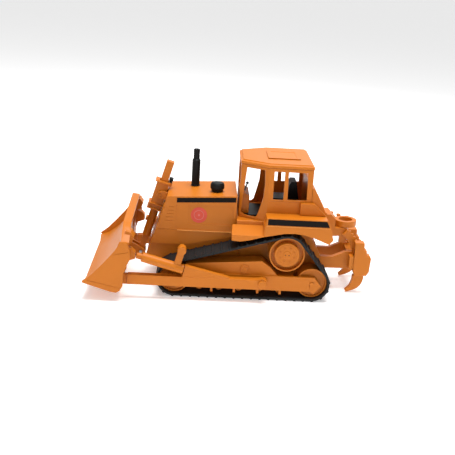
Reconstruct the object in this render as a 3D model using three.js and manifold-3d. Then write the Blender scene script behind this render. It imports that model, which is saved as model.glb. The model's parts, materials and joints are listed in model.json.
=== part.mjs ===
// Toy crawler bulldozer: orange plastic body, rubber belts, semi-U blade and two-shank ripper.
// Millimetres. +X is the front, +Y the left side, +Z up. The belts stand on z = 0.
import * as THREE from 'three';
import { mergeVertices } from 'three/addons/utils/BufferGeometryUtils.js';
import Module from 'manifold-3d';

const wasm = await Module();
wasm.setup();

// Driving dimensions
const gap = 0.3;                       // play left between neighbouring pieces
const bladeHalf = 97.5;
const bladeFoldY = 58;                 // where the wings start
const tipX = 187;
const beltInnerY = 38;
const beltOuterY = 72;
const beltThickness = 2.7;
const grouserHeight = 1.1;
const grouserCount = 45;
const idlerR = 19.9;
const idlerZ = idlerR + gap + beltThickness + grouserHeight;
const frontIdlerX = 72.5;
const rearIdlerX = -105.5;
const sprocketR = 22.9;
const sprocketX = -70.5;
const sprocketZ = 62.5;
const axleR = 3;
const hullHalf = 36;
const hoodHalf = 38.5;
const hoodWall = 2.5;
const hoodFloorZ = 80;
const platformZ = 93;                  // underside of the cab platform
const cabFloorZ = 99.8;
const cabWallTop = 170;
const cabHalf = 48.8;
const cabNoseHalf = 30;
const cabNoseX = -7;
const cabShoulderX = -42;
const cabRearX = -98.5;
const cabWall = 2.2;
const fenderInnerY = cabHalf + gap;
const fenderOuterY = 72.5;
const fenderTopZ = 111.5;
const armInnerY = 74.5;
const armOuterY = 84;
const shaft = { x: -17.6, z: 40.7, bore: 3.4 };   // cross shaft through hull and roller frames
const armPivot = { x: -40, z: 26.5 };
const brace = { y: 80.6, r: 6.2, front: { x: 113.6, z: 55.4 }, rear: { x: 60, z: 41 } };
const liftBar = { half: 5, foot: { x: 120.5, z: 36 }, lean: 16.05, length: 130.6 };
const yoke = { from: 62, to: 103, pivot: 85 };   // distances up the bar from its foot
const ripperPin = { x: -116, z: 40 };
const shankY = 29.5;
const ring = { x: -153.5, r: 15, hole: 9.3, z0: 85.5, z1: 93.5 };
const knobY = -18.9;                   // the row of three hitch knobs, beside the ring
const knobFeet = [[-136.7, 92.5], [-146.9, 89.7], [-158.6, 87.4]];

const plastic = (color, roughness = 0.42) =>
  new THREE.MeshStandardMaterial({ color, roughness, metalness: 0 });
const orange = 0xdf7a1c;
const black = 0x1c1c1e;
const pinGrey = 0x8d8f93;

// A place on the lift bar, measured from its foot.
const onBarAxis = (distance) => ({
  x: liftBar.foot.x - distance * Math.sin(liftBar.lean * Math.PI / 180),
  z: liftBar.foot.z + distance * Math.cos(liftBar.lean * Math.PI / 180),
});
const yokePivot = onBarAxis(yoke.pivot);

const model = new THREE.Group();

// Turns a closed three.js geometry into a solid that can be joined and cut.
function solid(geometry) {
  const bare = geometry.clone();
  bare.deleteAttribute('normal');
  bare.deleteAttribute('uv');
  const merged = mergeVertices(bare, 1e-4);
  const index = merged.index.array;
  const kept = [];
  for (let i = 0; i < index.length; i += 3) {
    const [a, b, c] = [index[i], index[i + 1], index[i + 2]];
    if (a !== b && b !== c && c !== a) kept.push(a, b, c);
  }
  return new wasm.Manifold(new wasm.Mesh({
    numProp: 3,
    vertProperties: new Float32Array(merged.attributes.position.array),
    triVerts: new Uint32Array(kept),
  }));
}

function geometryOf(body) {
  const mesh = body.getMesh();
  const geometry = new THREE.BufferGeometry();
  geometry.setAttribute('position', new THREE.BufferAttribute(new Float32Array(mesh.vertProperties), 3));
  geometry.setIndex(new THREE.BufferAttribute(new Uint32Array(mesh.triVerts), 1));
  geometry.computeVertexNormals();
  return geometry;
}

function join(first, ...others) {
  return geometryOf(others.reduce((sum, next) => sum.add(solid(next)), solid(first)));
}

function cut(first, ...others) {
  return geometryOf(others.reduce((rest, next) => rest.subtract(solid(next)), solid(first)));
}

// The same geometry on the other side of the centre plane.
function mirrored(geometry) {
  const copy = geometry.clone().scale(1, -1, 1);
  if (!copy.index) {
    copy.setIndex([...Array(copy.attributes.position.count).keys()]);
  }
  const index = copy.index.array;
  for (let i = 0; i < index.length; i += 3) {
    [index[i], index[i + 1]] = [index[i + 1], index[i]];
  }
  copy.deleteAttribute('normal');
  copy.computeVertexNormals();
  return copy;
}

function outlineOf(points) {
  return new THREE.Shape(points.map(([u, v]) => new THREE.Vector2(u, v)));
}

// An outline in the X-Z plane, carried along Y.
function slab(outline, y0, y1) {
  const shape = outline instanceof THREE.Shape ? outline : outlineOf(outline);
  const options = { depth: y1 - y0, bevelEnabled: false, curveSegments: 10 };
  const geometry = new THREE.ExtrudeGeometry(shape, options);
  return geometry.rotateX(Math.PI / 2).translate(0, y1, 0);
}

// An outline in the X-Y plane, carried along Z.
function plate(outline, z0, z1) {
  const shape = outline instanceof THREE.Shape ? outline : outlineOf(outline);
  const options = { depth: z1 - z0, bevelEnabled: false, curveSegments: 14 };
  const geometry = new THREE.ExtrudeGeometry(shape, options);
  return geometry.translate(0, 0, z0);
}

function box(x0, x1, y0, y1, z0, z1) {
  return new THREE.BoxGeometry(x1 - x0, y1 - y0, z1 - z0)
    .translate((x0 + x1) / 2, (y0 + y1) / 2, (z0 + z1) / 2);
}

// A round bar along Y at one place in the X-Z plane.
function crossBar(x, z, r, y0, y1, sides = 16) {
  return new THREE.CylinderGeometry(r, r, y1 - y0, sides).translate(x, (y0 + y1) / 2, z);
}

// A round bar between two points.
function strut(from, to, r, sides = 20) {
  const a = new THREE.Vector3(...from);
  const b = new THREE.Vector3(...to);
  const turn = new THREE.Quaternion().setFromUnitVectors(
    new THREE.Vector3(0, 1, 0), b.clone().sub(a).normalize());
  const middle = a.clone().add(b).multiplyScalar(0.5);
  return new THREE.CylinderGeometry(r, r, a.distanceTo(b), sides)
    .applyQuaternion(turn).translate(middle.x, middle.y, middle.z);
}

// A turned piece: profile points are [radius, height] along Y.
function turned(profile, segments = 24) {
  return new THREE.LatheGeometry(profile.map(([r, h]) => new THREE.Vector2(r, h)), segments);
}

// A closed skin through matching X-Z sections at rising Y.
function loft(sections) {
  const count = sections[0].points.length;
  const vertices = [];
  const faces = [];
  for (const { y, points } of sections) {
    for (const [x, z] of points) vertices.push(x, y, z);
  }
  for (let s = 0; s + 1 < sections.length; s += 1) {
    for (let i = 0; i < count; i += 1) {
      const j = (i + 1) % count;
      const [a, b] = [s * count + i, s * count + j];
      const [c, d] = [a + count, b + count];
      faces.push(a, b, d, a, d, c);
    }
  }
  const last = (sections.length - 1) * count;
  const flat = (points) => points.map(([x, z]) => new THREE.Vector2(x, z));
  for (const [a, b, c] of THREE.ShapeUtils.triangulateShape(flat(sections[0].points), [])) {
    faces.push(c, b, a);
  }
  for (const [a, b, c] of THREE.ShapeUtils.triangulateShape(flat(sections.at(-1).points), [])) {
    faces.push(last + a, last + b, last + c);
  }
  const geometry = new THREE.BufferGeometry();
  geometry.setAttribute('position', new THREE.Float32BufferAttribute(vertices, 3));
  geometry.setIndex(faces);
  geometry.computeVertexNormals();
  if (solid(geometry).volume() > 0) return geometry;
  const index = geometry.index.array;
  for (let i = 0; i < index.length; i += 3) {
    [index[i], index[i + 1]] = [index[i + 1], index[i]];
  }
  return geometry;
}

function add(name, geometry, color = orange, roughness = 0.42, place = [0, 0, 0]) {
  const mesh = new THREE.Mesh(geometry, plastic(color, roughness));
  mesh.name = name;
  mesh.position.set(...place);
  model.add(mesh);
}

// Left piece as drawn, right piece as its mirror image.
function addPair(name, geometry, color = orange, roughness = 0.42, place = [0, 0, 0]) {
  add(`${name}_left`, geometry, color, roughness, place);
  add(`${name}_right`, mirrored(geometry), color, roughness, [place[0], -place[1], place[2]]);
}

// Belt: the tight loop around the front idler, the raised sprocket and the rear idler.
function beltPath() {
  const wheels = [
    { x: frontIdlerX, z: idlerZ, r: idlerR + gap },
    { x: sprocketX, z: sprocketZ, r: sprocketR + gap },
    { x: rearIdlerX, z: idlerZ, r: idlerR + gap },
  ];
  const normals = wheels.map((a, i) => {
    const b = wheels[(i + 1) % wheels.length];
    const reach = Math.hypot(b.x - a.x, b.z - a.z);
    return Math.atan2(b.z - a.z, b.x - a.x) - Math.acos((a.r - b.r) / reach);
  });
  const pieces = [];
  wheels.forEach((wheel, i) => {
    const before = normals[(i + wheels.length - 1) % wheels.length];
    const after = normals[i];
    const sweep = (after - before + 4 * Math.PI) % (2 * Math.PI);
    pieces.push({ wheel, start: before, sweep, length: sweep * wheel.r });
    const next = wheels[(i + 1) % wheels.length];
    const apart = Math.hypot(next.x - wheel.x, next.z - wheel.z);
    pieces.push({ wheel, normal: after, length: Math.sqrt(apart ** 2 - (wheel.r - next.r) ** 2) });
  });
  return pieces;
}

const beltPieces = beltPath();
const beltLength = beltPieces.reduce((sum, piece) => sum + piece.length, 0);

// A point of the belt at a distance along its inner face, raised outwards.
function beltPoint(distance, raise) {
  let rest = ((distance % beltLength) + beltLength) % beltLength;
  let piece = beltPieces[0];
  for (piece of beltPieces) {
    if (rest <= piece.length) break;
    rest -= piece.length;
  }
  const { wheel } = piece;
  const reach = wheel.r + raise;
  if (piece.sweep !== undefined) {
    const angle = piece.start + rest / wheel.r;
    return [wheel.x + reach * Math.cos(angle), wheel.z + reach * Math.sin(angle)];
  }
  const [nx, nz] = [Math.cos(piece.normal), Math.sin(piece.normal)];
  return [wheel.x + reach * nx - rest * nz, wheel.z + reach * nz + rest * nx];
}

function makeBelt() {
  const pitch = beltLength / grouserCount;
  const foot = 1.6;                    // half width of a grouser at its foot
  const crest = 1.0;                   // half width at its crest
  const bottomMiddle = beltLength - beltPieces.at(-1).length / 2;
  const outer = [];
  for (let i = 0; i < grouserCount; i += 1) {
    const s = bottomMiddle + i * pitch;
    outer.push(beltPoint(s - foot, beltThickness));
    outer.push(beltPoint(s - crest, beltThickness + grouserHeight));
    outer.push(beltPoint(s + crest, beltThickness + grouserHeight));
    outer.push(beltPoint(s + foot, beltThickness));
    outer.push(beltPoint(s + pitch / 2, beltThickness));
  }
  const inner = [];
  for (const [i, piece] of beltPieces.entries()) {
    const start = beltPieces.slice(0, i).reduce((sum, each) => sum + each.length, 0);
    if (piece.sweep === undefined) continue;
    const steps = 11;
    for (let k = 0; k <= steps; k += 1) inner.push(beltPoint(start + piece.length * k / steps, 0));
  }
  const shape = outlineOf(outer);
  shape.holes.push(new THREE.Path(inner.map(([x, z]) => new THREE.Vector2(x, z))));
  return slab(shape, beltInnerY, beltOuterY);
}

// Undercarriage
addPair('track_belt', makeBelt(), black, 0.8);

addPair('drive_sprocket', turned([
  [axleR + gap, 46], [8, 46], [8, 52], [19.5, 52], [19.5, 44], [sprocketR, 44], [sprocketR, 68.5],
  [21.3, 68.5], [21.3, 62], [16.6, 62], [16.6, 66], [axleR + gap, 66], [axleR + gap, 46],
]), orange, 0.42, [sprocketX, 0, sprocketZ]);
addPair('hub_cap', turned([
  [0, 66.3], [16.2, 66.3], [16.2, 69], [15.5, 69.7], [5.2, 69.7], [5, 70.4], [0, 70.4],
]), orange, 0.42, [sprocketX, 0, sprocketZ]);

const idler = turned([
  [axleR + gap, 50], [16, 50], [16, 45], [idlerR, 45], [idlerR, 65], [17.8, 65], [17.8, 62.5],
  [9, 62.5], [9, 64.5], [axleR + gap, 64.5], [axleR + gap, 50],
]);
addPair('front_idler', idler, orange, 0.42, [frontIdlerX, 0, idlerZ]);
addPair('rear_idler', idler, orange, 0.42, [rearIdlerX, 0, idlerZ]);

add('sprocket_axle', crossBar(sprocketX, sprocketZ, axleR, -65.6, 65.6), pinGrey, 0.3);
addPair('front_idler_pin', crossBar(frontIdlerX, idlerZ, axleR, 44.5, 71.2));
addPair('rear_idler_pin', crossBar(rearIdlerX, idlerZ, axleR, 44.5, 71.2));

// Roller frame: housing, long outer plate with a spade end over each idler, moulded rollers below.
function makeRollerFrame() {
  const housing = slab([[58, 30], [58, 45], [-39, 52], [-51, 43.6], [-62, 31]], 46, 68);
  const beam = box(-82, 48, 43, 68, 13, 32);
  const spade = new THREE.Shape();
  spade.moveTo(-104, 13.5);
  spade.lineTo(62, 13.5);
  spade.lineTo(70, 11.5);
  spade.lineTo(78.5, 21.5);
  spade.lineTo(72, 33);
  spade.lineTo(-108, 33);
  spade.lineTo(-117.5, 22);
  spade.lineTo(-108.5, 10.5);
  const outerPlate = slab(spade, 66, 70);
  const innerPlate = box(-112, 73, 40.5, 44.2, 14, 33);
  const innerEnds = [frontIdlerX, rearIdlerX].map((x) => crossBar(x, idlerZ, 8, 40.5, 44.2));
  const rollers = [40, 14, -12, -38, -64].map((x) => crossBar(x, 10.4, 4.4, 46, 58, 16));
  const ribs = [24, -5.3, -35.7, -64.8].map((x) => box(x - 1.5, x + 1.5, 60, 69.5, 8.2, 14));
  const boss = crossBar(shaft.x, shaft.z, 5.6, 66, 69.4);
  const body = join(housing, beam, outerPlate, innerPlate, ...innerEnds, ...rollers, ...ribs, boss);
  const room = [frontIdlerX, rearIdlerX].map((x) => crossBar(x, idlerZ, idlerR + 1.1, 44.3, 65.6, 32));
  const bores = [frontIdlerX, rearIdlerX].map((x) => crossBar(x, idlerZ, axleR + gap, 44, 72));
  const shaftBore = crossBar(shaft.x, shaft.z, shaft.bore, 30, 72);
  return cut(body, ...room, ...bores, shaftBore);
}
addPair('roller_frame', makeRollerFrame());
add('pivot_shaft', crossBar(shaft.x, shaft.z, 3.1, -69.8, 69.8));
addPair('arm_pivot_pin', join(
  crossBar(armPivot.x, armPivot.z, 3.4, 70.3, armOuterY + 1),
  crossBar(armPivot.x, armPivot.z, 5.2, armOuterY + gap, armOuterY + 2.4)));

// Hull: the inner frame between the belts, with the two cheeks that hold the ripper pin.
function makeHull() {
  const core = slab([
    [111, 44], [99, 79.7], [-4, 79.7], [-4, 92.7], [-99, 92.7], [-107, 72], [-108, 24], [-96, 14],
    [80, 14], [92, 30], [104, 37],
  ], -hullHalf, hullHalf);
  const cheek = [[-100, 84], [-107.5, 72], [-121, 46.5], [-121, 33], [-108, 25], [-100, 25]];
  const cheeks = [slab(cheek, 25, 31.5), slab(cheek, -31.5, -25)];
  const ledge = slab([[106.5, 60], [99.2, 79.7], [-4, 79.7], [-4, 74], [60, 60]], -hoodHalf, hoodHalf);
  const axle = crossBar(sprocketX, sprocketZ, axleR + gap, -50, 50);
  const shaftBore = crossBar(shaft.x, shaft.z, shaft.bore, -50, 50);
  const pin = crossBar(ripperPin.x, ripperPin.z, 3.3, -40, 40);
  const recess = crossBar(-9, 52, 3, 34, 40);
  return cut(join(core, ledge, ...cheeks), axle, shaftBore, pin, recess);
}
add('hull', makeHull());

// Hood: a five-sided cover over the front of the hull, open underneath.
function makeHood() {
  const outer = slab([[98.4, hoodFloorZ], [86, 124], [-4, 128.5], [-4, hoodFloorZ]], -hoodHalf, hoodHalf);
  const inner = slab([
    [95.5, hoodFloorZ - 1], [83.7, 121.4], [-4 + hoodWall, 125.8], [-4 + hoodWall, hoodFloorZ - 1],
  ], -hoodHalf + hoodWall, hoodHalf - hoodWall);
  const panels = [-1, 1].map((side) => {
    const face = side * hoodHalf;
    return box(0, 58, Math.min(face, face - side * 0.8), Math.max(face, face - side * 0.8), 88.5, 114.5);
  });
  const window = slab([[101, 83], [87.5, 83], [81.5, 110], [94.5, 110]], -30, 30);
  const shell = cut(outer, inner, ...panels, window);
  const earOutline = [[86.2, 121], [93, 123.5], [99, 121.5], [101.3, 117.5], [99, 113.5], [88.9, 111.5]];
  const ears = [slab(earOutline, 8.6, 12), slab(earOutline, -12, -8.6)];
  const bridges = [box(82.5, 88.2, 8.6, 12, 117, 121), box(82.5, 88.2, -12, -8.6, 117, 121)];
  const pivot = crossBar(yokePivot.x, yokePivot.z, 2.7, -20, 20);
  return cut(join(shell, ...ears, ...bridges), pivot);
}
add('hood_shell', makeHood());
add('radiator_grille', slab([[97, 83.4], [94.6, 83.4], [87.2, 109.6], [89.6, 109.6]], -29.6, 29.6),
  0x2a2522, 0.55);

add('exhaust_stack', turned([
  [0, 0], [6, 0], [6, 0.8], [5.5, 1.2], [5.5, 35], [4.2, 36.2], [4.2, 49.5], [3.1, 49.5],
  [3.1, 40], [0, 40],
], 24).rotateX(Math.PI / 2), black, 0.5, [51, -15, 126.6]);
add('air_precleaner', turned([
  [0, 0], [7.8, 0], [7.8, 2.6], [9.2, 4], [9.2, 9.2], [7.6, 11.6], [0, 12.4],
], 24).rotateX(Math.PI / 2), black, 0.5, [22, 15, 128]);

// Cab
add('cab_platform', box(cabRearX, -4.4, -cabHalf, cabHalf, platformZ, cabFloorZ - gap));

const cabPlan = (inset) => [
  [cabNoseX - inset, cabNoseHalf - inset * 0.8], [cabNoseX - inset, -cabNoseHalf + inset * 0.8],
  [cabShoulderX - inset * 0.5, -cabHalf + inset], [cabRearX + inset, -cabHalf + inset],
  [cabRearX + inset, cabHalf - inset], [cabShoulderX - inset * 0.5, cabHalf - inset],
];
function makeCabShell() {
  const outer = plate(cabPlan(0), cabFloorZ, cabWallTop);
  const inner = plate(cabPlan(cabWall), cabFloorZ - 1, cabWallTop + 1);
  const door = slab([
    [-14.6, 166.5], [-36.8, 166.5], [-37.6, 147], [-36.8, 131], [-33.4, 116.5], [-30.2, 104.5],
    [-27.5, 102.3], [-15, 103], [-9.7, 106],
  ], -60, 60);
  const middleWindow = slab([[-48.7, 166], [-62, 166], [-62, 129.3], [-48.7, 129.3]], -60, 60);
  const rearWindow = slab([[-66.6, 166], [-91.2, 166], [-92, 130], [-67.4, 129.6]], -60, 60);
  const windscreen = box(-12, 0, -24, 24, 131, 166);
  const backWindow = box(-105, -90, -34, 34, 149, 166);
  return cut(outer, inner, door, middleWindow, rearWindow, windscreen, backWindow);
}
add('cab_shell', makeCabShell());

function makeRoof() {
  const rim = plate(cabPlan(-0.7), cabWallTop + gap, 174.4);
  const crown = plate(cabPlan(2), 174, 176.3);
  return join(rim, crown);
}
add('cab_roof', makeRoof());
add('roof_hatch', cut(
  box(-84, -41.5, -22, 22, 176.6, 177.7),
  box(-79, -47, -16, 16, 177.2, 179)));

add('cab_floor', box(-94, -12, -27, 27, cabFloorZ + 0.1, 101.6), black, 0.7);
add('operator_seat', join(
  box(-82, -50, -9, 9, 101.9, 110.5),
  box(-84, -44, -15, 15, 110, 122),
  slab([[-71, 121], [-72.5, 140], [-75, 144.5], [-82, 144.5], [-86, 121]], -13, 13)), black, 0.65);
add('dash_console', slab([
  [-9.8, 101.9], [-9.8, 129], [-13.5, 129], [-20.5, 125.5], [-20.5, 101.9],
], -22, 22));
add('control_lever', join(
  strut([-14.2, 9, 129.4], [-17, 9, 138.4], 1, 10),
  new THREE.SphereGeometry(2.1, 12, 8).translate(-17.3, 9, 139.4)), 0x4a4c50, 0.5);

// Tank behind the cab, sloping down to the back, wrapping the cab's rear corners.
function makeTank() {
  const main = slab([[-98.9, 146], [-102, 146], [-129, 94], [-129, 86], [-121, 84.5], [-98.9, 93.2]],
    -48.8, 48.8);
  const corner = [[-84.3, 112], [-84.3, 127.5], [-102, 127.5], [-118, 112]];
  const foot = [[-98.9, 114], [-120, 114], [-129, 94], [-98.9, 94]];
  const corners = [slab(corner, fenderInnerY, 55), slab(corner, -55, -fenderInnerY)];
  const links = [slab(foot, -46, 46), box(-118, -99, -55, 55, 112, 127.5)];
  const slope = slab([[-101.6, 128], [-118.6, 111.5], [-130, 111.5], [-130, 128]], -60, 60);
  const trimmed = cut(join(corners[0], links[1], corners[1]), slope);
  return join(main, trimmed, links[0]);
}
add('rear_tank', makeTank());

// Fenders: the shelf over each belt. The step in front of the cab door slopes down to its outer edge.
function makeFender() {
  const shelf = slab([
    [1.8, 80], [1.8, 90], [-1.4, 101.5], [-40, 101.5], [-41.2, fenderTopZ], [-118.4, fenderTopZ],
    [-123, 102], [-127.5, 86], [-122.5, 79.8], [-110, 84.7], [-101, 88.3], [-90.7, 91], [-77.8, 92.6],
    [-65, 91.9], [-52.7, 89.4], [-36.4, 85.7], [-21.5, 81.3], [-9, 79],
  ], fenderInnerY, fenderOuterY);
  const slope = outlineOf([[fenderInnerY - 1, 94.8], [fenderOuterY + 1, 87], [fenderOuterY + 1, 120],
    [fenderInnerY - 1, 120]]);
  const aboveStep = new THREE.ExtrudeGeometry(slope, { depth: 50, bevelEnabled: false })
    .applyMatrix4(new THREE.Matrix4().makeBasis(
      new THREE.Vector3(0, 1, 0), new THREE.Vector3(0, 0, 1), new THREE.Vector3(1, 0, 0)))
    .translate(-39, 0, 0);
  return cut(shelf, aboveStep);
}
addPair('fender', makeFender());

// Blade: hollow-backed box section with swept wings, flat end plates and lugs behind.
const bladeFront = [[184.5, 21.5], [171.5, 29], [159.5, 42.5], [148.5, 57], [142, 68], [139, 79], [138, 89]];
const bladeBack = [[131.5, 92.5], [133.5, 88], [134, 62], [136, 38], [137, 21], [141.5, 14], [149, 12.5]];
function bladeSection(sweep, drop) {
  const top = [[139, 97 - drop], [129, 96 - drop], [129, 93.5 - drop]];
  const front = bladeFront.map(([x, z]) => {
    const low = Math.max(0, (60 - z) / 40);
    return [x + sweep * low, z - drop * Math.max(0, (z - 21.5) / 75.5) + sweep * low * 0.55];
  });
  const back = bladeBack.map(([x, z]) => [x, z > 50 ? z - drop * (z - 21.5) / 75.5 : z]);
  return [...front, ...top, ...back, [168, 17.5]];
}
function makeMoldboard() {
  const skin = loft([
    { y: -bladeHalf + 2.4, points: bladeSection(2.6, 17.5) },
    { y: -bladeFoldY - 8, points: bladeSection(0, 0) },
    { y: bladeFoldY + 8, points: bladeSection(0, 0) },
    { y: bladeHalf - 2.4, points: bladeSection(2.6, 17.5) },
  ]);
  const pocket = [[128, 90], [134.5, 88.5], [136, 78], [139, 66], [146, 53], [157, 38.5], [163, 32],
    [163, 21], [128, 19]];
  const pocketSpans = [[-63, -38], [-34, -12], [12, 34], [38, 63]];
  const pockets = pocketSpans.map(([y0, y1]) => slab(pocket, y0, y1));
  const endPlate = [[tipX, 25.5], [184.5, 23.2], [151, 13], [144, 12], [140, 14.5], [136, 21], [135.5, 36.5],
    [131, 50], [127.5, 57], [127.5, 66], [131, 79.5], [141, 79.5], [143.5, 73], [146.5, 68], [152, 61],
    [164, 47], [176.4, 33.9]];
  const plates = [slab(endPlate, bladeHalf - 2.7, bladeHalf), slab(endPlate, -bladeHalf, -bladeHalf + 2.7)];
  const lugs = [-1, 1].flatMap((side) => {
    const span = (a, b) => [Math.min(side * a, side * b), Math.max(side * a, side * b)];
    return [
      slab([[122, 54.5], [122, 62], [126, 66.5], [136, 70], [138, 52], [134, 50]], ...span(75.5, 86)),
      slab([[127, 74], [124, 82], [128, 88], [135, 90], [137, 70]], ...span(66, 84)),
      box(132, 139, ...span(76.5, 82), 18.5, 32),
    ];
  });
  const earOutline = [[139, 24], [121, 30], [114.5, 33.5], [114.5, 38.5], [121, 42.5], [139, 52]];
  const ears = [slab(earOutline, 5.2, 7.4), slab(earOutline, -7.4, -5.2)];
  const footBore = crossBar(liftBar.foot.x, liftBar.foot.z, 2.3, -9, 9);
  return cut(join(cut(skin, ...pockets), ...plates, ...lugs, ...ears), footBore);
}
add('blade_moldboard', makeMoldboard());
add('cutting_edge', slab([[185.2, 21.4], [183.6, 19], [172, 16.2], [171.2, 17.9]], -70, 70), 0xc96a18);
add('lift_foot_pin', crossBar(liftBar.foot.x, liftBar.foot.z, 2, -8.4, 8.4, 16), pinGrey, 0.3);

function makePushArm() {
  const beam = box(-35, 131.7, armInnerY, armOuterY, 19, 32);
  const eye = crossBar(armPivot.x, armPivot.z, 6.9, armInnerY, armOuterY, 28);
  const neck = slab([[-40, 20.2], [-40, 33.2], [-30, 32], [-30, 19]], armInnerY, armOuterY);
  const wedge = slab([[62.4, 31], [59, 47], [54, 45.8], [2, 33.4], [2, 31]], 76.5, 83.4);
  return cut(join(beam, eye, neck, wedge), crossBar(armPivot.x, armPivot.z, 3.7, 70, 90, 24));
}
addPair('push_arm', makePushArm());

// Tilt braces: a fixed rod on the blade, and a barrel that turns on it by its upright lever.
const braceRun = new THREE.Vector2(brace.front.x - brace.rear.x, brace.front.z - brace.rear.z).normalize();
const bracePoint = (t, lift = 0) => [
  brace.rear.x + braceRun.x * t - braceRun.y * lift,
  brace.y,
  brace.rear.z + braceRun.y * t + braceRun.x * lift,
];
const barrelLength = Math.hypot(brace.front.x - brace.rear.x, brace.front.z - brace.rear.z);
const barrelStart = 1.4;
addPair('brace_barrel', cut(
  strut(bracePoint(barrelStart), bracePoint(barrelLength), brace.r, 24),
  strut(bracePoint(barrelLength - 22), bracePoint(barrelLength + 1), 4.3)));
addPair('brace_rod', strut(bracePoint(barrelLength - 20), bracePoint(barrelLength + 7.2), 4));
const leverAt = 10.5;
const leverOutline = [
  bracePoint(leverAt - 4.2, 4), bracePoint(leverAt + 4.2, 4), bracePoint(leverAt + 4.2, 25),
  bracePoint(leverAt - 4.2, 25)].map(([x, , z]) => [x, z]);
const knob = bracePoint(leverAt, 25);
addPair('brace_lever', cut(
  join(
    slab(leverOutline, brace.y - 3.6, brace.y + 3.6),
    crossBar(knob[0], knob[2], 5.4, brace.y - 5, brace.y + 7, 24)),
  strut(bracePoint(-5), bracePoint(40), brace.r + gap, 24)));

// Blade lift: one straight bar on the centre line that slides through a yoke on the hood's nose.
const onLift = (geometry) => geometry
  .rotateY(-liftBar.lean * Math.PI / 180)
  .translate(liftBar.foot.x, 0, liftBar.foot.z);
function makeLiftBar() {
  const h = liftBar.half;
  const bar = box(-h, h, -h, h, 60, liftBar.length);
  const barrel = new THREE.CylinderGeometry(5.5, 5.5, 38, 24).rotateX(Math.PI / 2).translate(0, 0, 42);
  const rod = box(-4, 4, -4, 4, 4, 24);
  const eye = crossBar(0, 0, 5.2, -4.6, 4.6, 24);
  const slot = join(crossBar(-1.2, 0, 2.35, -6, 6, 16), crossBar(1.2, 0, 2.35, -6, 6, 16),
    box(-1.2, 1.2, -6, 6, -2.3, 2.3));
  return onLift(cut(join(bar, barrel, rod, eye), slot));
}
add('lift_bar', makeLiftBar());
function makeLiftYoke() {
  const inner = liftBar.half + 0.9;
  const sleeve = box(-7.6, 8.6, -7.6, 7.6, yoke.from, yoke.to);
  const collar = box(-7.6, 9.6, -8.1, 8.1, yoke.from, yoke.from + 9);
  const trunnion = crossBar(0, yoke.pivot, 2.4, -11.6, 11.6);
  const buttonBoss = box(-11.2, -7, -4, 4, yoke.to - 5, yoke.to);
  const bore = box(-inner, inner, -inner, inner, yoke.from - 1, yoke.to + 1);
  const buttonPocket = box(-10.2, -7, -3.1, 3.1, yoke.to - 4, yoke.to + 1);
  return onLift(cut(join(sleeve, collar, trunnion, buttonBoss), bore, buttonPocket));
}
add('lift_yoke', makeLiftYoke());
add('release_button', onLift(join(
  box(-9.9, -7.3, -2.8, 2.8, yoke.to - 1.8, yoke.to + 3),
  box(-10.9, -5.6, -3.6, 3.6, yoke.to + 2.4, yoke.to + 6.4))), black, 0.5);

// Ripper: swinging frame with a toothed quadrant, two shank holders and two shanks.
function makeRipperFrame() {
  const arm = [[-109.5, 40], [-113, 46.5], [-119, 46.5], [-137, 46.5], [-155, 55], [-163, 55], [-163, 31],
    [-128, 30.5], [-113, 33.5]];
  const arms = [slab(arm, 15.5, 23), slab(arm, -23, -15.5)];
  const beam = box(-170, -158, -34.5, 34.5, 34, 52);
  const quadrant = new THREE.Shape();
  const inner = 49.5;
  const outer = 59;
  const from = 131 * Math.PI / 180;
  const to = 169 * Math.PI / 180;
  quadrant.absarc(ripperPin.x, ripperPin.z, outer, from, to, false);
  quadrant.absarc(ripperPin.x, ripperPin.z, inner, to, from, true);
  const teeth = [135, 140, 145, 150].map((degrees) => {
    const angle = degrees * Math.PI / 180;
    const at = [ripperPin.x + outer * Math.cos(angle), ripperPin.z + outer * Math.sin(angle)];
    return crossBar(at[0], at[1], 1.7, 16.8, 21, 6);
  });
  const body = join(arms[0], beam, arms[1], slab(quadrant, 16.8, 21), ...teeth);
  return cut(body, crossBar(ripperPin.x, ripperPin.z, 3.3, -40, 40));
}
add('ripper_frame', makeRipperFrame());
add('ripper_pin', crossBar(ripperPin.x, ripperPin.z, 3, -31, 31), pinGrey, 0.3);

function makeShankHolder() {
  const outer = slab([
    [-163.4, 71.8], [-176.3, 71.8], [-176.6, 61.5], [-180.2, 61.5], [-180.6, 54.5], [-185, 54],
    [-tipX, 50], [-185.8, 31], [-182.5, 25.5], [-166.5, 25.5], [-164, 31],
  ], shankY - 6, shankY + 6);
  const beamRoom = box(-170.4, -150, 0, 34.8, 33.7, 52.3);
  const socket = box(-180.2, -170.6, shankY - 3.9, shankY + 3.9, 20, 60);
  return cut(outer, beamRoom, socket);
}
addPair('shank_holder', makeShankHolder());

function makeShank() {
  const blade = new THREE.Shape();
  blade.moveTo(-171, 58);
  blade.lineTo(-179.8, 58);
  blade.lineTo(-179.8, 24);
  blade.quadraticCurveTo(-179.6, 8.5, -165.5, 3.6);
  blade.lineTo(-157.6, 1);
  blade.lineTo(-156.4, 3.6);
  blade.quadraticCurveTo(-165.2, 10.4, -164.9, 25.2);
  blade.lineTo(-171, 25.2);
  return slab(blade, shankY - 3.5, shankY + 3.5);
}
addPair('ripper_shank', makeShank());

const hitchKnob = () => turned([
  [0, 0], [2.2, 0], [2.2, 1.6], [3.1, 2.2], [3.1, 3.8], [2.2, 4.8], [0, 5],
], 20).rotateX(Math.PI / 2);

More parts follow.
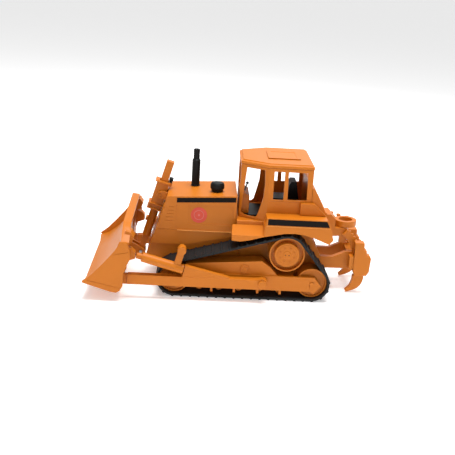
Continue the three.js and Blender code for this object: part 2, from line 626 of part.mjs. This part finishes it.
function makeHitchBlock() {
  const body = slab([
    [-125.6, 103], [-131, 103.5], [-137.8, 97], [-137.8, 84.9], [-146, 84.9], [-146, 74], [-133, 73],
    [-131, 82], [-130, 93.6],
  ], -15.5, 15.5);
  const slot = box(-139, -126, -6.5, 6.5, 86.2, 92.4);
  const tab = box(-154.5, -145, 8, 15, 64.5, 84.9);
  const rail = slab([
    [-132, 92.5], [-141.5, 92.5], [-141.5, 89.7], [-152, 89.7], [-152, 87.4], [-163, 87.4], [-163, 82],
    [-132, 82],
  ], knobY - 3.1, -ring.r - gap);
  const [x, z] = knobFeet[2];
  return join(cut(body, slot), tab, rail, hitchKnob().translate(x, knobY, z - 0.1));
}
add('hitch_block', makeHitchBlock());
for (const [i, [x, z]] of knobFeet.slice(0, 2).entries()) {
  add(`hitch_knob_${i + 1}`, hitchKnob(), orange, 0.42, [x, knobY, z + gap]);
}
function makePullRing() {
  const disc = new THREE.Shape();
  disc.absarc(ring.x, 0, ring.r, 0, 2 * Math.PI, false);
  const hole = new THREE.Path();
  hole.absarc(ring.x, 0, ring.hole, 0, 2 * Math.PI, true);
  disc.holes.push(hole);
  const tongue = box(-143, -130, -5.9, 5.9, 86.8, 91.8);
  return join(plate(disc, ring.z0, ring.z1), tongue);
}
add('pull_ring', makePullRing());

export default model;
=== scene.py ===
import bpy
import json
import math
from mathutils import Matrix, Vector


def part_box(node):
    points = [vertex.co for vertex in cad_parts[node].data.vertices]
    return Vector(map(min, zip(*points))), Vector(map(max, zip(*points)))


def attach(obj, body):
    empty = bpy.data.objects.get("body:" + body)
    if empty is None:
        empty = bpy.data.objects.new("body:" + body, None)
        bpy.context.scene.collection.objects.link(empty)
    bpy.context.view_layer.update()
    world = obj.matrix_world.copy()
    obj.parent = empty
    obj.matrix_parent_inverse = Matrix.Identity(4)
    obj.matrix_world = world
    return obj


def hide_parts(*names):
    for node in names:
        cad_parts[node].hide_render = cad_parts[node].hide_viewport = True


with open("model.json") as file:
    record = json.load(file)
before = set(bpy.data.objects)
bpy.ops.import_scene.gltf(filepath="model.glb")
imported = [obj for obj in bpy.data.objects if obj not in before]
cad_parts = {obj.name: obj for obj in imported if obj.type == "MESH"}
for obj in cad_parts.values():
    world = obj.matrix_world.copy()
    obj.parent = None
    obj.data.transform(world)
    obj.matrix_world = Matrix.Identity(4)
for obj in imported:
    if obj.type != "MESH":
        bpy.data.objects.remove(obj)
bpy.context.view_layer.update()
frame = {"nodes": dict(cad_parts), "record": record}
print("frame loaded", len(frame["nodes"]), "nodes")

mm = 0.001
sides = ((1, "left"), (-1, "right"))
record = frame["record"]
bodyOfNode = {node: body for body, nodes in record["behaviour"]["bodies"].items() for node in nodes}
slotOfNode = {part["node"]: part["material_slot"] for part in record["subparts"]}


# ---- camera, lights and floor
cameraSettings = {
    "place": (0.0475, 1.0442, 0.4135),
    "forward": (-0.0387, -0.9501, -0.3095),
    "right": (-0.99917, 0.04066, 0.0),
    "roll": 3.43,  # degrees, about the view direction
    "angle": 31.26,  # degrees, across the whole view
    "reach": 100,
}


def makeCamera():
    forward = Vector(cameraSettings["forward"]).normalized()
    right = Vector(cameraSettings["right"]).normalized()
    up = right.cross(forward)
    roll = math.radians(cameraSettings["roll"])
    side = math.cos(roll) * right + math.sin(roll) * up
    rise = -math.sin(roll) * right + math.cos(roll) * up
    data = bpy.data.cameras.new("camera")
    data.angle = math.radians(cameraSettings["angle"])
    data.clip_end = cameraSettings["reach"]
    camera = bpy.data.objects.new("camera", data)
    bpy.context.scene.collection.objects.link(camera)
    turn = Matrix((side, rise, -forward)).transposed().to_4x4()
    camera.matrix_world = Matrix.Translation(cameraSettings["place"]) @ turn
    bpy.context.scene.camera = camera
    print("camera made")


lightTarget = Vector((0, 0, 0.08))
roomLight = 0.55
studioLights = [  # name, place, size, power
    ("keyLight", (-0.05, 0.1, 1.6), 0.8, 33),
    ("fillLight", (-0.9, 1.3, 0.9), 1.0, 2),
    ("backLight", (-0.5, -1.2, 1.1), 1.2, 5),
]


def makeLights():
    for name, place, size, power in studioLights:
        data = bpy.data.lights.new(name, "AREA")
        data.size = size
        data.energy = power
        light = bpy.data.objects.new(name, data)
        light.location = place
        light.rotation_euler = (lightTarget - Vector(place)).to_track_quat("-Z", "Y").to_euler()
        bpy.context.scene.collection.objects.link(light)
    bpy.context.scene.view_settings.view_transform = "Standard"  # keeps the orange saturated
    makeWorld()
    print("lights made")


# The room lights the model softly, and looks white behind it.
def makeWorld():
    world = bpy.data.worlds.new("studio")
    world.use_nodes = True
    nodes, links = world.node_tree.nodes, world.node_tree.links
    soft = nodes["Background"]
    soft.inputs["Color"].default_value = (1, 1, 1, 1)
    soft.inputs["Strength"].default_value = roomLight
    seen = nodes.new("ShaderNodeBackground")
    seen.inputs["Color"].default_value = (1, 1, 1, 1)
    path = nodes.new("ShaderNodeLightPath")
    mix = nodes.new("ShaderNodeMixShader")
    links.new(path.outputs["Is Camera Ray"], mix.inputs["Fac"])
    links.new(soft.outputs[0], mix.inputs[1])
    links.new(seen.outputs[0], mix.inputs[2])
    links.new(mix.outputs[0], nodes["World Output"].inputs["Surface"])
    bpy.context.scene.world = world


floorSettings = {"size": 60, "drop": 0.0002, "grey": 0.93, "roughness": 0.9, "glow": 0.3}


def makeFloor():
    bpy.ops.object.select_all(action="DESELECT")
    bpy.ops.mesh.primitive_plane_add(size=floorSettings["size"], location=(0, 0, -floorSettings["drop"]))
    floor = bpy.context.active_object
    floor.name = "floor"
    paper = bpy.data.materials.new("paper")
    paper.use_nodes = True
    shader = paper.node_tree.nodes["Principled BSDF"]
    shader.inputs["Base Color"].default_value = (*[floorSettings["grey"]] * 3, 1)
    shader.inputs["Roughness"].default_value = floorSettings["roughness"]
    shader.inputs["Emission Color"].default_value = (1, 1, 1, 1)
    shader.inputs["Emission Strength"].default_value = floorSettings["glow"]
    floor.data.materials.append(paper)
    print("floor made")


# ---- materials
grainSettings = {"broadScale": 22, "broadDetail": 4, "fineDetail": 2, "bumpDistance": 0.0003}


# Broad unevenness in colour and gloss, and a fine surface grain, for every moulded finish.
def makeGrainGroup():
    group = bpy.data.node_groups.new("mouldedGrain", "ShaderNodeTree")
    for name in ("Base", "Variation", "Roughness", "Fine Scale"):
        kind = "NodeSocketColor" if name == "Base" else "NodeSocketFloat"
        group.interface.new_socket(name, in_out="INPUT", socket_type=kind)
    for name in ("Color", "Roughness", "Height"):
        kind = "NodeSocketColor" if name == "Color" else "NodeSocketFloat"
        group.interface.new_socket(name, in_out="OUTPUT", socket_type=kind)
    nodes, links = group.nodes, group.links
    start = nodes.new("NodeGroupInput")
    end = nodes.new("NodeGroupOutput")
    coords = nodes.new("ShaderNodeTexCoord")
    broad = nodes.new("ShaderNodeTexNoise")
    broad.inputs["Scale"].default_value = grainSettings["broadScale"]
    broad.inputs["Detail"].default_value = grainSettings["broadDetail"]
    fine = nodes.new("ShaderNodeTexNoise")
    fine.inputs["Detail"].default_value = grainSettings["fineDetail"]
    links.new(coords.outputs["Object"], broad.inputs["Vector"])
    links.new(coords.outputs["Object"], fine.inputs["Vector"])
    links.new(start.outputs["Fine Scale"], fine.inputs["Scale"])
    centred = nodes.new("ShaderNodeMath")
    centred.operation = "SUBTRACT"
    centred.inputs[1].default_value = 0.5
    links.new(broad.outputs["Fac"], centred.inputs[0])
    amount = nodes.new("ShaderNodeMath")
    amount.operation = "MULTIPLY"
    links.new(centred.outputs[0], amount.inputs[0])
    links.new(start.outputs["Variation"], amount.inputs[1])
    value = nodes.new("ShaderNodeMath")
    value.operation = "ADD"
    value.inputs[1].default_value = 1
    links.new(amount.outputs[0], value.inputs[0])
    shade = nodes.new("ShaderNodeHueSaturation")
    links.new(start.outputs["Base"], shade.inputs["Color"])
    links.new(value.outputs[0], shade.inputs["Value"])
    rough = nodes.new("ShaderNodeMath")
    rough.operation = "MULTIPLY_ADD"
    rough.inputs[1].default_value = 0.5
    links.new(amount.outputs[0], rough.inputs[0])
    links.new(start.outputs["Roughness"], rough.inputs[2])
    links.new(shade.outputs["Color"], end.inputs["Color"])
    links.new(rough.outputs[0], end.inputs["Roughness"])
    links.new(fine.outputs["Fac"], end.inputs["Height"])
    return group


grainGroup = makeGrainGroup()
finishes = {  # colour, roughness, variation, fine scale, bump, metallic, gloss
    "orangePlastic": ((0.50, 0.142, 0.006), 0.42, 0.16, 1100, 0.05, 0, 0.24),
    # a darker orange; on the hub bolts it is painted shade
    "edgePlastic": ((0.46, 0.125, 0.005), 0.44, 0.16, 1100, 0.05, 0, 0.24),
    "blackPlastic": ((0.0045, 0.005, 0.005), 0.45, 0.4, 1100, 0.06, 0, 0.16),
    "grillePlastic": ((0.02, 0.014, 0.011), 0.6, 0.3, 900, 0.1, 0, 0.12),
    "leverGrey": ((0.10, 0.105, 0.11), 0.4, 0.2, 900, 0.04, 0, 0.24),
    "beltRubber": ((0.011, 0.0115, 0.012), 0.6, 0.6, 700, 0.22, 0, 0.2),
    "pinMetal": ((0.32, 0.31, 0.30), 0.33, 0.3, 900, 0.05, 1, 0.5),
    "stripeBlack": ((0.006, 0.004, 0.003), 0.6, 0.3, 900, 0.02, 0, 0.1),
    "stickerRed": ((0.60, 0.075, 0.045), 0.5, 0.3, 700, 0.03, 0, 0.2),
    "stickerPale": ((0.62, 0.16, 0.12), 0.5, 0.3, 700, 0.03, 0, 0.2),
    # a lighter orange laid along lit edges: painted highlight
    "paleHighlightOrange": ((0.72, 0.27, 0.05), 0.40, 0.2, 900, 0.03, 0, 0.24),
}
finishOfSlot = {
    "orange_plastic": "orangePlastic", "edge_plastic": "edgePlastic", "black_plastic": "blackPlastic",
    "grille_plastic": "grillePlastic", "lever_grey": "leverGrey", "belt_rubber": "beltRubber",
    "pin_metal": "pinMetal",
}


def makeFinish(name):
    color, roughness, variation, fineScale, bumpStrength, metallic, gloss = finishes[name]
    material = bpy.data.materials.new(name)
    material.use_nodes = True
    nodes, links = material.node_tree.nodes, material.node_tree.links
    shader = nodes["Principled BSDF"]
    grain = nodes.new("ShaderNodeGroup")
    grain.node_tree = grainGroup
    grain.inputs["Base"].default_value = (*color, 1)
    grain.inputs["Variation"].default_value = variation
    grain.inputs["Roughness"].default_value = roughness
    grain.inputs["Fine Scale"].default_value = fineScale
    bump = nodes.new("ShaderNodeBump")
    bump.inputs["Strength"].default_value = bumpStrength
    bump.inputs["Distance"].default_value = grainSettings["bumpDistance"]
    links.new(grain.outputs["Color"], shader.inputs["Base Color"])
    links.new(grain.outputs["Roughness"], shader.inputs["Roughness"])
    links.new(grain.outputs["Height"], bump.inputs["Height"])
    links.new(bump.outputs["Normal"], shader.inputs["Normal"])
    shader.inputs["Metallic"].default_value = metallic
    shader.inputs["Specular IOR Level"].default_value = gloss
    return material


materialOf = {name: makeFinish(name) for name in finishes}
print("finishes made")


# ---- shared modelling steps
smoothBelow = math.radians(35)
roundAbove = math.radians(32)
flatBelow = math.radians(1.5)
mergeWithin = 0.00002


def alone(piece):
    bpy.ops.object.select_all(action="DESELECT")
    piece.select_set(True)
    bpy.context.view_layer.objects.active = piece


def dress(piece, finish):
    piece.data.materials.clear()
    piece.data.materials.append(materialOf[finish])


def settle(piece, finish, body):
    alone(piece)
    bpy.ops.object.transform_apply(location=True, rotation=True, scale=True)
    bpy.ops.object.shade_smooth_by_angle(angle=smoothBelow)
    even = piece.modifiers.new("evenNormals", "WEIGHTED_NORMAL")
    even.keep_sharp = True
    bpy.ops.object.modifier_apply(modifier=even.name)
    dress(piece, finish)
    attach(piece, body)


def roundEdges(piece, width, segments=2):
    bevel = piece.modifiers.new("roundEdges", "BEVEL")
    bevel.width = width
    bevel.segments = segments
    bevel.limit_method = "ANGLE"
    bevel.angle_limit = roundAbove
    alone(piece)
    bpy.ops.object.modifier_apply(modifier="roundEdges")


def addCube(name, place, size, turn=0.0):
    bpy.ops.object.select_all(action="DESELECT")
    bpy.ops.mesh.primitive_cube_add(size=1, location=place, rotation=(0, turn, 0))
    piece = bpy.context.active_object
    piece.name = name
    piece.scale = size
    bpy.ops.object.transform_apply(location=True, rotation=True, scale=True)
    return piece


def cutAway(piece, cutter):
    trim = piece.modifiers.new("cutAway", "BOOLEAN")
    trim.operation = "DIFFERENCE"
    trim.solver = "EXACT"
    trim.object = cutter
    alone(piece)
    bpy.ops.object.modifier_apply(modifier="cutAway")
    bpy.data.objects.remove(cutter, do_unlink=True)


def turnAndLength(start, end):  # of a line in the X-Z plane
    run = Vector(end) - Vector(start)
    return -math.atan2(run.y, run.x), run.length


# Panel lines and louvres, in millimetres: X and Z of both ends, cut in the side faces.
panelGroove = {"width": 0.6, "depth": 0.5, "outermost": 0.75}
louvres = [((88.5 - i * 1.2, 92 + i * 4.6), (77, 92 + i * 4.6)) for i in range(5)]
grooveLines = {
    "hood_shell": [((73.6, 81), (73.6, 124.4))] + louvres,
    "cab_shell": [((-44, 127.2), (-97, 127.2))],
    "blade_moldboard": [((180.5, 27.4), (139, 18.2)), ((128.5, 66.5), (150, 62))],
    "roller_frame_left": [((-103, 28), (-103, 17))],
    "roller_frame_right": [((-103, 28), (-103, 17))],
}


def cutGrooves(piece, node):
    low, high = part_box(node)
    farthest = max(abs(low[1]), abs(high[1]))
    faces = [y for y in (low[1], high[1]) if abs(y) > panelGroove["outermost"] * farthest]
    for start, end in grooveLines.get(node, []):
        turn, length = turnAndLength(start, end)
        for face in faces:
            place = ((start[0] + end[0]) / 2 * mm, face, (start[1] + end[1]) / 2 * mm)
            size = (length * mm, 2 * panelGroove["depth"] * mm, panelGroove["width"] * mm)
            cutAway(piece, addCube("groove", place, size, turn))


# A copy of a CAD piece with its triangles joined into flat faces, its edges rounded and its grooves cut.
def moulded(node, width):
    source = frame["nodes"][node]
    piece = source.copy()
    piece.data = source.data.copy()
    piece.name = node + "_moulded"
    bpy.context.scene.collection.objects.link(piece)
    piece.parent = None
    alone(piece)
    bpy.ops.object.mode_set(mode="EDIT")
    bpy.ops.mesh.select_all(action="SELECT")
    bpy.ops.mesh.remove_doubles(threshold=mergeWithin)
    bpy.ops.mesh.dissolve_limited(angle_limit=flatBelow)
    bpy.ops.object.mode_set(mode="OBJECT")
    roundEdges(piece, width)
    cutGrooves(piece, node)
    settle(piece, finishOfSlot[slotOfNode[node]], bodyOfNode[node])
    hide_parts(node)
    return piece


def pairs(*names):
    return [name + "_" + word for name in names for side, word in sides]


# Rounding, in metres, by how thick each piece is.
roundingOf = {
    "broad": (0.0009, ["hull", "hood_shell", "rear_tank", "cab_platform", "ripper_frame", "hitch_block",
                       "cab_roof"] + pairs("roller_frame", "push_arm", "shank_holder")),
    "fine": (0.0004, ["cab_shell", "blade_moldboard", "cutting_edge", "roof_hatch", "dash_console",
                      "lift_yoke", "lift_bar", "release_button", "pull_ring", "hitch_knob_1",
                      "hitch_knob_2", "exhaust_stack", "air_precleaner"]
             + pairs("brace_lever", "brace_barrel", "brace_rod", "ripper_shank", "hub_cap",
                     "arm_pivot_pin", "drive_sprocket", "front_idler", "rear_idler")),
    "thin": (0.0002, pairs("fender")),
    "soft": (0.0016, ["operator_seat"]),
    "belt": (0.0003, pairs("track_belt")),
}


def mouldAll():
    done = set()
    for width, names in roundingOf.values():
        for node in names:
            moulded(node, width)
            done.add(node)
    for node, carried in frame["nodes"].items():
        if node not in done:
            dress(carried, finishOfSlot[slotOfNode[node]])
    print("moulded", len(done), "pieces")


# ---- added detail
def addBlock(name, low, high, finish, body, rounding=0.0003):
    middle = [(a + b) / 2 for a, b in zip(low, high)]
    piece = addCube(name, middle, [b - a for a, b in zip(low, high)])
    roundEdges(piece, rounding)
    settle(piece, finish, body)
    return piece


# A thin plate on a side face: a block whose four upright corners are moved to the outline's.
# The outline is in millimetres, in the order low front, high front, high rear, low rear.
def addSidePlate(name, outline, face, rise, finish, body, rounding=0.0001):
    corners = [Vector((x * mm, z * mm)) for x, z in outline]
    low = Vector((min(c.x for c in corners), min(c.y for c in corners)))
    high = Vector((max(c.x for c in corners), max(c.y for c in corners)))
    middle = ((low.x + high.x) / 2, face + rise / 2, (low.y + high.y) / 2)
    piece = addCube(name, middle, (high.x - low.x, abs(rise), high.y - low.y))
    starts = [Vector((high.x, low.y)), high, Vector((low.x, high.y)), low]
    points = [Vector((v.co.x, v.co.z)) for v in piece.data.vertices]
    for start, corner in zip(starts, corners):
        if (corner - start).length < 1e-7:
            continue
        alone(piece)
        bpy.ops.object.mode_set(mode="EDIT")
        bpy.ops.mesh.select_mode(type="VERT")
        bpy.ops.mesh.select_all(action="DESELECT")
        bpy.ops.object.mode_set(mode="OBJECT")
        for vertex, point in zip(piece.data.vertices, points):
            vertex.select = (point - start).length < 1e-6
        bpy.ops.object.mode_set(mode="EDIT")
        bpy.ops.transform.translate(value=(corner.x - start.x, 0, corner.y - start.y))
        bpy.ops.object.mode_set(mode="OBJECT")
    roundEdges(piece, rounding)
    settle(piece, finish, body)
    return piece


def addDisc(name, centre, radius, thickness, side, finish, body, rounding=0.0002, rimSides=40):
    bpy.ops.object.select_all(action="DESELECT")
    place = (centre[0], centre[1] + side * thickness / 2, centre[2])
    bpy.ops.mesh.primitive_cylinder_add(vertices=rimSides, radius=radius, depth=thickness, location=place,
                                        rotation=(math.pi / 2, 0, 0))
    piece = bpy.context.active_object
    piece.name = name
    roundEdges(piece, rounding)
    settle(piece, finish, body)
    return piece


def addRing(name, centre, outerR, innerR, rise, side, finish, body):
    bpy.ops.object.select_all(action="DESELECT")
    place = (centre[0], centre[1] + side * rise / 2, centre[2])
    bpy.ops.mesh.primitive_torus_add(location=place, rotation=(math.pi / 2, 0, 0), major_segments=40,
                                     minor_segments=8, major_radius=(outerR + innerR) / 2,
                                     minor_radius=(outerR - innerR) / 2)
    piece = bpy.context.active_object
    piece.name = name
    bpy.ops.object.transform_apply(location=False, rotation=True, scale=False)
    piece.scale = (1, 0.5, 1)
    settle(piece, finish, body)
    return piece


hoodTrim = {
    "skin": 0.25, "recess": 0.8,
    "stripe": ((73.5, 116.6), (73.5, 122.8), (-2.6, 126.6), (-2.6, 120.2)),
    "ledge": ((72, 78.9), (72, 80.0), (-2.4, 80.0), (-2.4, 78.9)), "ledgeRise": 1.1,
    "sticker": (44.4, 100.8), "stickerR": 10.6, "markR": 6.2, "dotR": 1.4,
}


def dressHood():
    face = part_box("hood_shell")[1][1]
    x, z = hoodTrim["sticker"]
    skin = hoodTrim["skin"] * mm
    for side, word in sides:
        addSidePlate("hood_stripe_" + word, hoodTrim["stripe"], side * face, side * skin, "stripeBlack",
                     "chassis")
        # The ledge stands out from the hood; its lighter orange is a painted highlight along its lit top.
        addSidePlate("hood_ledge_" + word, hoodTrim["ledge"], side * face, side * hoodTrim["ledgeRise"] * mm,
                     "paleHighlightOrange", "chassis", 0.0002)
        sunk = Vector((x * mm, side * (face - hoodTrim["recess"] * mm), z * mm))
        addDisc("hood_sticker_" + word, sunk, hoodTrim["stickerR"] * mm, skin, side, "stickerRed", "chassis",
                0.00008)
        over = sunk + Vector((0, side * skin, 0))
        addRing("hood_sticker_ring_" + word, over, (hoodTrim["markR"] + 0.5) * mm,
                (hoodTrim["markR"] - 0.5) * mm, 0, side, "stickerPale", "chassis")
        addDisc("hood_sticker_dot_" + word, over, hoodTrim["dotR"] * mm, skin, side, "stickerPale", "chassis",
                0.0001)
    print("hood dressed")


fenderTrim = {
    "skin": 0.25,
    "stripe": ((-42.6, 102.6), (-42.8, 110.4), (-117.4, 110.4), (-121.4, 102.6)),
    # The line is a thin strip of lighter orange: a painted highlight along the fender.
    "line": ((-40.6, 100.9), (-40.6, 101.5), (-122.0, 101.5), (-122.3, 100.9)),
}


def dressFenders():
    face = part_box("fender_left")[1][1]
    skin = fenderTrim["skin"] * mm
    for side, word in sides:
        addSidePlate("fender_stripe_" + word, fenderTrim["stripe"], side * face, side * skin, "stripeBlack",
                     "chassis")
        # painted highlight along the fender
        addSidePlate("fender_line_" + word, fenderTrim["line"], side * face, side * skin, "paleHighlightOrange",
                     "chassis")
    print("fenders dressed")


hubTrim = {"bolts": 8, "boltRing": 9.6, "boltR": 1.5, "boltRise": 1.0, "rimR": 13.4, "rimWidth": 1.2,
           "faceBack": 0.7, "slotGap": 2.3, "slotR": 0.75, "slotRise": 0.15}


def dressHubs():
    low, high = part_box("hub_cap_left")
    centreX = (low[0] + high[0]) / 2
    centreZ = (low[2] + high[2]) / 2
    face = high[1] - hubTrim["faceBack"] * mm
    for side, word in sides:
        body = "sprocket_" + word
        for i in range(hubTrim["bolts"]):
            angle = 2 * math.pi * (i + 0.5) / hubTrim["bolts"]
            reach = hubTrim["boltRing"] * mm
            centre = (centreX + reach * math.cos(angle), side * face, centreZ + reach * math.sin(angle))
            # The bolts take the darker orange as painted shade, so they stand apart from the hub.
            addDisc("hub_bolt_%s_%d" % (word, i + 1), centre, hubTrim["boltR"] * mm, hubTrim["boltRise"] * mm,
                    side, "edgePlastic", body, 0.0003, 6)
        addRing("hub_ring_" + word, (centreX, side * face, centreZ), hubTrim["rimR"] * mm,
                (hubTrim["rimR"] - hubTrim["rimWidth"]) * mm, 0.0002, side, "orangePlastic", body)
        # Two flat dark discs stand for the slots in the hub's centre: painted shade, not openings.
        for i, way in enumerate((-1, 1)):
            centre = (centreX + way * hubTrim["slotGap"] * mm, side * high[1], centreZ)
            addDisc("hub_slot_shade_%s_%d" % (word, i + 1), centre, hubTrim["slotR"] * mm, hubTrim["slotRise"] * mm,
                    side, "grillePlastic", body, 0.00005, 12)
    print("hubs dressed")


shaftTrim = {"outerR": 5.6, "innerR": 4.6, "back": 0.3}


def dressShafts():
    low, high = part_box("pivot_shaft")
    for side, word in sides:
        face = high[1] - shaftTrim["back"] * mm
        centre = ((low[0] + high[0]) / 2, side * face, (low[2] + high[2]) / 2)
        addRing("shaft_ring_" + word, centre, shaftTrim["outerR"] * mm, shaftTrim["innerR"] * mm, 0, side,
                "orangePlastic", "chassis")
    print("shaft rings made")


# Bars across the radiator grille, stepped back to follow its slope.
grilleTrim = {"bars": 7, "foot": 3.0, "pitch": 3.4, "half": 29, "thick": 1.0, "deep": 1.1, "proud": 0.9,
              "panelDepth": 2.4}


def dressGrille():
    low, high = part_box("radiator_grille")
    slope = (high[0] - low[0] - grilleTrim["panelDepth"] * mm) / (high[2] - low[2])
    for i in range(grilleTrim["bars"]):
        rise = (grilleTrim["foot"] + i * grilleTrim["pitch"]) * mm
        front = high[0] + grilleTrim["proud"] * mm - slope * rise
        addBlock("grille_bar_%d" % (i + 1),
                 (front - grilleTrim["deep"] * mm, -grilleTrim["half"] * mm, low[2] + rise),
                 (front, grilleTrim["half"] * mm, low[2] + rise + grilleTrim["thick"] * mm),
                 "orangePlastic", "chassis")
    print("grille bars made")


# Flanges round the yoke, square to the lift bar and open for it. In millimetres, from the bar's foot.
yokeTrim = {"reach": (63.4, 70.2, 101.6), "thick": 1.7, "half": 10.4, "front": 11.4, "back": -7.9,
            "openHalf": 7.2, "openFront": 8.1, "openBack": -7.2, "openThick": 9, "rounding": 0.25}


# A block square to the lift bar, from back to front across it.
def addOnBar(name, reach, front, back, half, thick):
    slide = next(j for j in record["behaviour"]["joints"] if j["name"] == "lift_bar_slide")
    along = Vector(slide["axis"])
    outward = Vector((along.z, 0, -along.x))
    low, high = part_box("lift_foot_pin")
    foot = Vector(((low[0] + high[0]) / 2, 0, (low[2] + high[2]) / 2))
    place = foot + (along * reach + outward * (front + back) / 2) * mm
    size = ((front - back) * mm, 2 * half * mm, thick * mm)
    return addCube(name, place, size, math.atan2(along.x, along.z))


def dressYoke():
    trim = yokeTrim
    for i, reach in enumerate(trim["reach"]):
        piece = addOnBar("yoke_flange_%d" % (i + 1), reach, trim["front"], trim["back"], trim["half"],
                         trim["thick"])
        opening = addOnBar("opening", reach, trim["openFront"], trim["openBack"], trim["openHalf"],
                           trim["openThick"])
        cutAway(piece, opening)
        roundEdges(piece, trim["rounding"] * mm)
        settle(piece, "orangePlastic", "lift_yoke")
    print("yoke dressed")


makeCamera()
makeLights()
makeFloor()
mouldAll()
dressHood()
dressFenders()
dressHubs()
dressShafts()
dressGrille()
dressYoke()
